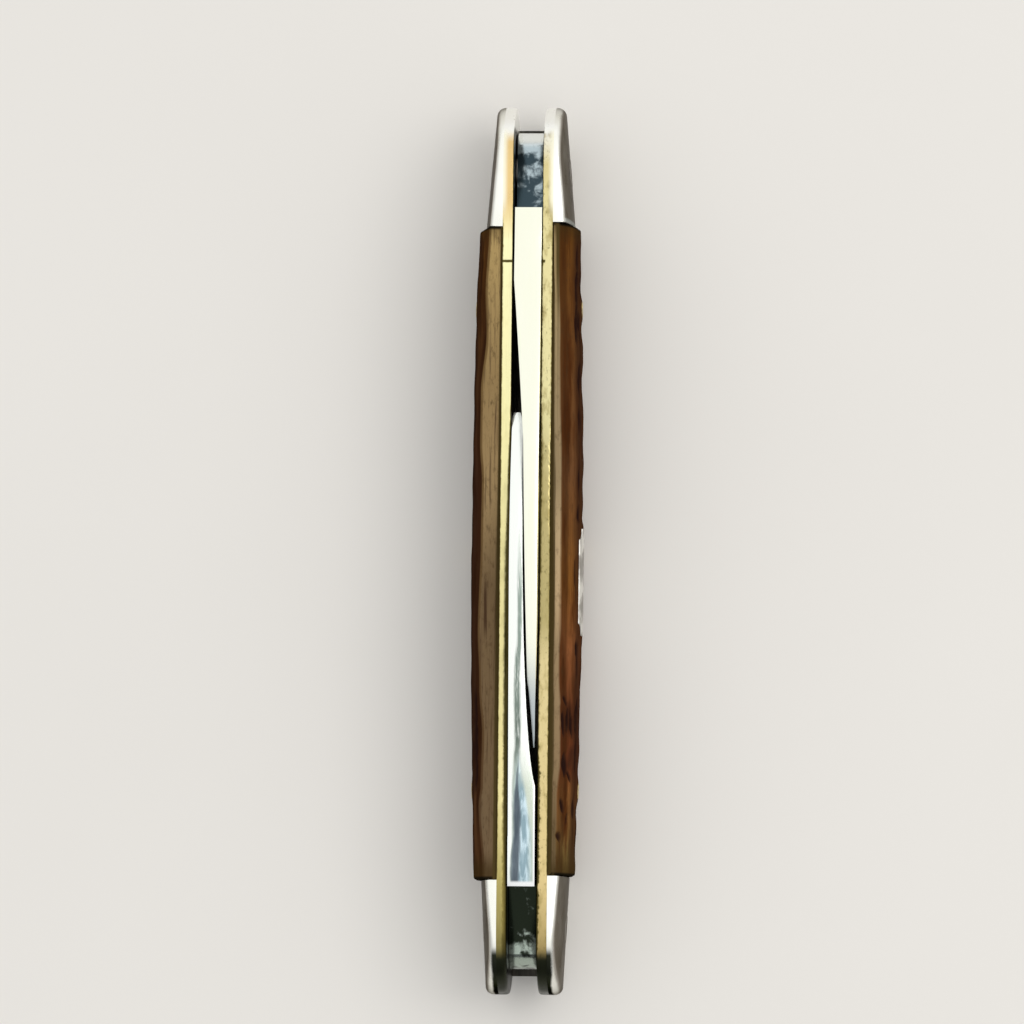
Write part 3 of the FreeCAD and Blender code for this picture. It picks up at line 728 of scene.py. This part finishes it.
mark_dye = bone(
    "mark_bone_dye", shift=0.0,
    flank=[
        (-24.0, (0.16, 0.105, 0.034)), (-20.0, (0.3, 0.135, 0.042)), (-17.5, (0.14, 0.04, 0.015)),
        (-13.5, (0.12, 0.036, 0.015)), (-8.0, (0.24, 0.088, 0.032)), (-3.0, (0.2, 0.08, 0.018)),
        (6.0, (0.15, 0.066, 0.026)), (24.0, (0.13, 0.052, 0.011)),
    ],
    flank_dark=(0.07, 0.022, 0.006),
    filed=[
        (-24.0, (0.12, 0.085, 0.04)), (-4.0, (0.11, 0.075, 0.035)), (6.0, (0.17, 0.125, 0.065)),
        (24.0, (0.2, 0.15, 0.06)),
    ],
    filed_dark=(0.09, 0.06, 0.026),
    # The pale lip is a painted highlight, where the rounded filed edge catches the light.
    lip=[
        (-22.5, (0.14, 0.095, 0.048)), (-17.0, (0.25, 0.17, 0.09)), (-8.0, (0.3, 0.21, 0.115)),
        (-4.0, (0.48, 0.34, 0.19)), (1.0, (0.44, 0.32, 0.18)), (5.0, (0.3, 0.22, 0.12)),
        (16.0, (0.32, 0.235, 0.125)), (23.0, (0.34, 0.245, 0.115)),
    ],
    lip_width=0.5,
)
pile_dye_and_shade = bone(
    "pile_bone_dye", shift=23.0,
    # The pile flank is darker than the mark flank partly as painted shade, since that side is turned from
    # the light.
    flank=[
        (-22.0, (0.1, 0.045, 0.018)), (-12.0, (0.045, 0.02, 0.01)), (4.0, (0.05, 0.02, 0.011)),
        (14.0, (0.065, 0.028, 0.011)), (22.0, (0.12, 0.05, 0.012)),
    ],
    flank_dark=(0.03, 0.011, 0.005),
    filed=[
        (-22.0, (0.15, 0.1, 0.054)), (-3.0, (0.16, 0.105, 0.053)), (4.0, (0.3, 0.205, 0.098)),
        (13.0, (0.27, 0.182, 0.08)), (24.0, (0.4, 0.28, 0.115)),
    ],
    filed_dark=(0.085, 0.05, 0.026),
    lip=[(-20.0, (0.09, 0.05, 0.024)), (20.0, (0.17, 0.105, 0.04))],
    lip_width=0.14,
    streak=(3.05, -4.9),
)
scale("mark_bone", 1, MARK_SCALE, mark_dye, mark_bites, has_shield=True)
scale("pile_bone", -1, PILE_SCALE, pile_dye_and_shade, pile_bites, has_shield=False)


# Shield and its rivets
# A plain nickel silver bar with scooped corners, let into the mark-side scale and held by two rivets
# that are filed level with it. Its edge stands a hair above the bone.

SHIELD_ARRIS = 0.05 * mm
SHIELD_DULL, SHIELD_BRIGHT, SHIELD_DARK_PATCH = (0.58, 0.56, 0.52), (0.9, 0.89, 0.84), (0.3, 0.28, 0.25)


def bright_silver():
    """Nickel silver that fingers keep bright, with darker clouds across it."""
    finish = Finish("bright_silver", Metallic=1.0)
    cloud = finish.grain((0.5, 0.35, 0.5), detail=3)
    dark_patches = finish.rise(finish.grain((0.8, 0.6, 0.5), detail=4, shift=4), 0.42, 0.66)
    worn_bright = finish.tint(finish.rise(cloud, 0.3, 0.6), SHIELD_DULL, SHIELD_BRIGHT)
    return finish.wear(
        colour=finish.tint(dark_patches, worn_bright, SHIELD_DARK_PATCH),
        roughness=finish.rise(cloud, -0.7, 2.2),
        height=finish.grain((4, 3, 24), detail=3, distortion=0.5),
        depth=0.003 * mm,
    )


shield_silver = bright_silver()
shield = solid_of("shield")
break_edges(shield, SHIELD_ARRIS)
fit("shield_bar", shield, shield_silver, "handle", "shield")
rivet_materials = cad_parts["shield_rivets"].data.materials
rivet_materials.clear()
rivet_materials.append(shield_silver)


# Pins through the covers
# Short brass pins through each scale, a longer one that holds the spring, and a nickel silver pivot at
# each end. All are hammered over and filed down with the cover, and stand a hair proud of it.

PIN_RADIUS, SPRING_PIN_RADIUS, PIVOT_RADIUS = 0.65 * mm, 0.8 * mm, 1.1 * mm
PIN_PROUD, PIN_DOME, PIN_DOME_REACH = 0.025 * mm, 0.03, 0.3 * mm
PIN_RIM, PIN_RIM_SUNK, PIN_TOP_INSET = 0.05 * mm, 0.02 * mm, 0.45
PIN_BLANK_LENGTH, PIN_SEGMENTS = 2 * mm, 40
DULL_PIN, WORN_PIN = (0.3, 0.21, 0.08), (0.72, 0.58, 0.26)


def pin(name, y, z, radius, outer_face, inner_face, material, node, side=1):
    """A round pin along X between two faces, each given as its distance from the middle plane."""
    bm = bmesh.new()
    turned = Matrix.Translation((0, y, z)) @ Matrix.Rotation(math.pi / 2, 4, "Y")
    bmesh.ops.create_cone(
        bm, cap_ends=True, segments=PIN_SEGMENTS, radius1=radius, radius2=radius, depth=PIN_BLANK_LENGTH,
        matrix=turned,
    )
    heads = [item for item in bm.faces if len(item.verts) > 4]
    for inward in (PIN_RIM, radius * PIN_TOP_INSET):
        bmesh.ops.inset_individual(bm, faces=heads, thickness=inward)
    for vert in bm.verts:
        from_rim = radius - math.hypot(vert.co.y - y, vert.co.z - z)
        on_rim = from_rim < PIN_RIM / 5
        proud = -PIN_RIM_SUNK if on_rim else PIN_PROUD + min(from_rim, PIN_DOME_REACH) * PIN_DOME
        face, away = (outer_face, 1) if vert.co.x > 0 else (inner_face, -1)
        vert.co.x = face(vert.co.y, vert.co.z) + away * proud
    bmesh.ops.scale(bm, vec=(side, 1, 1), verts=bm.verts)
    bmesh.ops.recalc_face_normals(bm, faces=bm.faces)
    fit(name, bm, material, "handle", node)


def pin_brass():
    """Brass that is worn bright in places and dull in others."""
    finish = Finish("pin_brass", Metallic=1.0)
    dull = finish.grain((3, 3, 3), detail=5)
    return finish.wear(
        colour=finish.tint(finish.rise(dull, 0.35, 0.65), DULL_PIN, WORN_PIN),
        roughness=finish.rise(dull, -0.6, 1.9),
        height=dull,
        depth=0.01 * mm,
    )


hammered_brass = pin_brass()
for (side_name, side), size in zip(SIDES, (MARK_SCALE, PILE_SCALE)):
    for end_name, end in ENDS:
        pin(
            f"{side_name}_{end_name}_scale_pin", end * PIN_Y, PIVOT_Z, PIN_RADIUS,
            lambda y, z: scale_face(size, y, z), lambda y, z: SLOT_HALF,
            hammered_brass, f"{side_name}_scale_pin_{end_name}", side,
        )
pin(
    "spring_pin", 0, SPRING_PIN_Z, SPRING_PIN_RADIUS,
    lambda y, z: scale_face(MARK_SCALE, y, z), lambda y, z: -scale_face(PILE_SCALE, y, z),
    hammered_brass, "spring_rivet",
)
for end_name, end in ENDS:
    pin(
        f"{end_name}_pivot", end * PIVOT_Y, PIVOT_Z, PIVOT_RADIUS,
        bolster_face, lambda y, z: -bolster_face(y, z),
        nickel_silver, f"{end_name}_pivot_pin",
    )


# Blades
# Two carbon steel blades, flat ground and cranked to lie beside each other, with a nail nick each.
# Spines are polished and carry painted highlights and reflections. The tang seats, which rub on the
# spring, are stained blue-black.

CRANK_START, CRANK_END, INNER_FACE, LEAN_IN = 10 * mm, 22 * mm, 0.42 * mm, 0.045 * mm
BLADE_ARRIS, ABOVE_EDGE, TANG_Y = 0.07 * mm, 5.0 * mm, 24 * mm
SPINE_SLOPE = 0.6
GROUND_DARK, GROUND_PALE, GROUND_STAIN = (0.52, 0.52, 0.51), (0.66, 0.66, 0.65), (0.36, 0.35, 0.33)
MAIN_POLISH_AND_HIGHLIGHT, MAIN_GLEAM, MAIN_TIP_REFLECTION = (0.95, 0.955, 0.78), (0.96, 0.965, 0.86), (0.55, 0.6, 0.62)
MAIN_SEAT_DARK, MAIN_SEAT_RUBBED, MAIN_HEEL_HIGHLIGHT = (0.045, 0.07, 0.085), (0.45, 0.54, 0.58), (0.86, 0.89, 0.87)
PEN_POLISH_AND_HIGHLIGHT, PEN_GLEAM, PEN_GREY_REFLECTION = (0.93, 0.97, 0.93), (0.97, 0.99, 0.95), (0.62, 0.68, 0.58)
PEN_BLUE_REFLECTION_DARK, PEN_BLUE_REFLECTION_PALE, PEN_RIM_HIGHLIGHT = (0.28, 0.4, 0.46), (0.66, 0.82, 0.9), (0.93, 0.94, 0.95)
PEN_LINE_REFLECTION_DARK, PEN_LINE_REFLECTION_PALE = (0.16, 0.2, 0.17), (0.36, 0.44, 0.39)
PEN_SLATE_REFLECTION_DARK, PEN_SLATE_REFLECTION_PALE = (0.03, 0.045, 0.06), (0.19, 0.23, 0.27)
PEN_SEAT_DARK, PEN_SEAT_RUBBED = (0.016, 0.021, 0.014), (0.36, 0.42, 0.37)


def ground_side(finish, ground, cloud):
    """The flat ground faces of a blade: grey steel with lines across it and a few darker stains."""
    lined = finish.tint(ground, GROUND_DARK, GROUND_PALE)
    return finish.tint(finish.rise(cloud, 0.56, 0.74), lined, GROUND_STAIN, most=0.5)


def stained_seat(finish, colour, dark, pale, patch_shift, pale_from, pale_to, rub_low):
    """The tang's flat seat, dark with paler rubbed patches, more of them towards the end of the tang."""
    patch = finish.grain((1.1, 1.0, 1.1), detail=4, distortion=0.4, shift=patch_shift)
    from_centre = finish.away(finish.y)
    rubbed = finish.plus(patch, finish.times(finish.rise(from_centre, pale_from, pale_to), 0.3))
    stain_and_dark_reflection = finish.tint(finish.rise(rubbed, rub_low, rub_low + 0.2), dark, pale)
    seat = finish.times(finish.rise(from_centre, 26.0, 26.2), finish.rise(finish.z, 9.7, 9.3))
    return finish.tint(seat, colour, stain_and_dark_reflection)


def main_spine(finish, cloud):
    """A warm polish with a painted highlight, giving way to a painted bluish-grey reflection towards the
    tip.
    """
    polished_and_lit = finish.tint(cloud, MAIN_POLISH_AND_HIGHLIGHT, MAIN_GLEAM)
    return finish.tint(finish.rise(finish.y, -7.0, -13.0), polished_and_lit, MAIN_TIP_REFLECTION)


def main_tang(finish, steel):
    """The seat, and the heel beyond it, with a painted highlight where the tang's round end faces the
    light.
    """
    seat = stained_seat(
        finish, steel, MAIN_SEAT_DARK, MAIN_SEAT_RUBBED,
        patch_shift=4.0, pale_from=30.5, pale_to=32.0, rub_low=0.51,
    )
    return finish.tint(finish.rise(finish.y, 31.5, 32.3), seat, MAIN_HEEL_HIGHLIGHT)


def pen_spine(finish, cloud):
    """A cool polish with a painted highlight and a painted grey reflected line, which near the tang opens
    into painted grey, slate and blue reflections inside a painted highlight along the rim.
    """
    slanted = finish.plus(finish.x, finish.times(finish.y, -0.016))
    sway = finish.plus(slanted, finish.times(finish.plus(cloud, -0.5), 0.5))
    near_tang = finish.rise(finish.plus(finish.y, finish.times(cloud, 4.0)), -13.5, -17.0)
    mottle = finish.grain((3.0, 0.45, 3.0), detail=5, distortion=0.4, shift=6)
    drawn = finish.rise(finish.grain((7, 0.3, 7), detail=4, shift=3), 0.2, 0.52)

    polished_and_lit = finish.tint(cloud, PEN_POLISH_AND_HIGHLIGHT, PEN_GLEAM)
    line = finish.times(finish.band(sway, -0.17, 0.3), finish.rise(finish.y, 5.0, -5.0))
    line_tone = finish.along((-15.0, PEN_LINE_REFLECTION_DARK), (0.0, PEN_LINE_REFLECTION_PALE))
    streaked = finish.tint(finish.times(line, drawn), polished_and_lit, line_tone)
    grey_reflection_part = finish.times(near_tang, finish.rise(finish.x, -0.85, -0.6))
    grey_reflecting = finish.tint(grey_reflection_part, streaked, PEN_GREY_REFLECTION)

    patchy = finish.tint(finish.rise(mottle, 0.4, 0.65), PEN_BLUE_REFLECTION_DARK, PEN_BLUE_REFLECTION_PALE)
    wedge_front = finish.rise(finish.plus(sway, finish.times(finish.y, 0.19)), -2.9, -3.3)
    wedge = finish.times(finish.band(sway, 0.4, 0.95), wedge_front)
    blue = finish.tint(finish.times(wedge, near_tang), grey_reflecting, patchy)
    slate_width = finish.plus(finish.times(finish.rise(finish.y, -16.5, -21.5), 0.38), 0.03)
    slate_part = finish.times(finish.band(sway, -0.05, slate_width), near_tang)
    slate = finish.tint(slate_part, blue, finish.tint(mottle, PEN_SLATE_REFLECTION_DARK, PEN_SLATE_REFLECTION_PALE))
    rim = finish.work("MAXIMUM", finish.rise(finish.x, 0.82, 0.9), finish.rise(finish.y, -26.1, -26.35))
    return finish.tint(rim, slate, PEN_RIM_HIGHLIGHT)


def pen_tang(finish, steel):
    """The seat, stained nearly black."""
    return stained_seat(
        finish, steel, PEN_SEAT_DARK, PEN_SEAT_RUBBED,
        patch_shift=9.0, pale_from=29.8, pale_to=31.4, rub_low=0.62,
    )


def blade_steel(name, spine_polish_and_light, tang_stain):
    """Steel with faint grinding lines, the blade's own polish and painted light on its up-facing spine, and
    stain on its tang.
    """
    finish = Finish(name, Metallic=1.0)
    ground = finish.grain((10, 9, 0.7), detail=3)
    cloud = finish.grain((0.9, 0.18, 0.9), detail=4, shift=2)
    side = ground_side(finish, ground, cloud)
    steel = finish.tint(finish.painted("spine"), side, spine_polish_and_light(finish, cloud))
    return finish.wear(
        colour=tang_stain(finish, steel),
        roughness=finish.rise(ground, -1.2, 5.0),
        height=ground,
        depth=0.002 * mm,
    )


def lean_in(bm, end):
    """Brings a blade's inner face, from its crank to its tip, a hair closer to the other blade."""
    for vert in bm.verts:
        share = (PIVOT_Y - end * vert.co.y - CRANK_START) / (CRANK_END - CRANK_START)
        if end * vert.co.x < INNER_FACE:
            vert.co.x -= end * LEAN_IN * min(max(share, 0.0), 1.0)


def spine_side(edge):
    """Leaves the thin cutting edge and the tip as they are."""
    middle = (edge.verts[0].co + edge.verts[1].co) / 2
    return middle.z > ABOVE_EDGE or abs(middle.y) > TANG_Y


steels = dict(
    main=blade_steel("main_blade_steel", main_spine, main_tang),
    pen=blade_steel("pen_blade_steel", pen_spine, pen_tang),
)
for end_name, end in ENDS:
    shape = solid_of(f"{end_name}_blade")
    lean_in(shape, end)
    break_edges(shape, BLADE_ARRIS, spine_side)
    piece = fit(
        f"{end_name}_steel", shape, steels[end_name], f"{end_name}_blade_body",
        f"{end_name}_blade",
    )
    # The spine is the blade's up-facing faces, which take the painted highlight.
    paint(piece, "spine", [item.normal.z > SPINE_SLOPE for item in piece.data.polygons], "FACE")


# Floor, light and camera
# A plain pale floor under a wide soft light, with a square lamp on the mark side. The camera looks down
# on the knife, and stands a little towards the mark side and the pen blade's pivot.

FLOOR_HALF = 1.5
FLOOR_GREY, FLOOR_PALE = (0.74, 0.72, 0.69), (0.78, 0.76, 0.73)
LIGHT_FROM, LIGHT_BEGINS, LIGHT_FULL = Vector((0.12, 0.45, 0.88)).normalized(), -0.4, 0.65
ROOM_DARK, ROOM_BRIGHT, ROOM_STRENGTH = (0.14, 0.14, 0.15, 1), (1.0, 1.0, 0.985, 1), 1.03
KEY_PLACE, KEY_SIZE, KEY_BRIGHTNESS, KEY_COLOUR = (0.42, 0.12, 0.62), 0.45, 2.0, (1.0, 0.97, 0.93)

bm = bmesh.new()
bmesh.ops.create_grid(bm, x_segments=1, y_segments=1, size=FLOOR_HALF)
floor_mesh = bpy.data.meshes.new("floor")
bm.to_mesh(floor_mesh)
bm.free()
pale = Finish("pale_floor", Roughness=0.75)
floor_mesh.materials.append(
    pale.wear(colour=pale.tint(pale.grain((0.02, 0.02, 0.02)), FLOOR_GREY, FLOOR_PALE))
)
floor = bpy.data.objects.new("floor", floor_mesh)
bpy.context.scene.collection.objects.link(floor)

world = bpy.data.worlds.new("studio")
bpy.context.scene.world = world
world.use_nodes = True
nodes, links = world.node_tree.nodes, world.node_tree.links
direction = nodes.new("ShaderNodeTexCoord").outputs["Generated"]
facing = nodes.new("ShaderNodeVectorMath")
facing.operation = "DOT_PRODUCT"
facing.inputs[1].default_value = LIGHT_FROM
links.new(direction, facing.inputs[0])
share = nodes.new("ShaderNodeMapRange")
share.inputs["From Min"].default_value = LIGHT_BEGINS
share.inputs["From Max"].default_value = LIGHT_FULL
links.new(facing.outputs["Value"], share.inputs["Value"])
room = nodes.new("ShaderNodeValToRGB")
room.color_ramp.elements[0].color, room.color_ramp.elements[1].color = ROOM_DARK, ROOM_BRIGHT
links.new(share.outputs[0], room.inputs[0])
links.new(room.outputs[0], nodes["Background"].inputs["Color"])
nodes["Background"].inputs["Strength"].default_value = ROOM_STRENGTH

light = bpy.data.lights.new("key", "AREA")
light.shape, light.size = "SQUARE", KEY_SIZE
light.energy = KEY_BRIGHTNESS * math.pi * KEY_SIZE ** 2
light.color = KEY_COLOUR
lamp = bpy.data.objects.new("key", light)
lamp.location = KEY_PLACE
lamp.rotation_euler = (-Vector(KEY_PLACE)).to_track_quat("-Z", "Y").to_euler()
bpy.context.scene.collection.objects.link(lamp)

PHOTO_SIZE, HANDLE_PIXELS, HANDLE_MIDDLE = 1024, 888, (528.5, 549.9)
PIXEL = HANDLE_LENGTH / HANDLE_PIXELS
CAMERA_DISTANCE, SENSOR_WIDTH, CLIP_START = 0.6, 36, 0.01
LEAN, TILT, ROLL = math.radians(3.4), math.radians(3.9), math.radians(0.54)
camera_data = bpy.data.cameras.new("camera")
camera = bpy.data.objects.new("camera", camera_data)
bpy.context.scene.collection.objects.link(camera)
bpy.context.scene.camera = camera
camera_data.sensor_width = SENSOR_WIDTH
camera_data.lens = SENSOR_WIDTH * CAMERA_DISTANCE / (PIXEL * PHOTO_SIZE)
camera_data.clip_start = CLIP_START
towards = Vector((math.tan(LEAN), -math.tan(TILT), 1)).normalized()
across = Vector((0, 1, 0)).cross(towards).normalized()
up = towards.cross(across)
axes = Matrix((across, up, towards)).transposed() @ Matrix.Rotation(ROLL, 3, "Z")
off_centre = Vector((PHOTO_SIZE / 2 - HANDLE_MIDDLE[0], HANDLE_MIDDLE[1] - PHOTO_SIZE / 2, 0)) * PIXEL
target = Vector((0, 0, PIVOT_Z)) + axes @ off_centre
camera.matrix_world = Matrix.Translation(target + towards * CAMERA_DISTANCE) @ axes.to_4x4()

bpy.context.scene.view_settings.view_transform = "Standard"
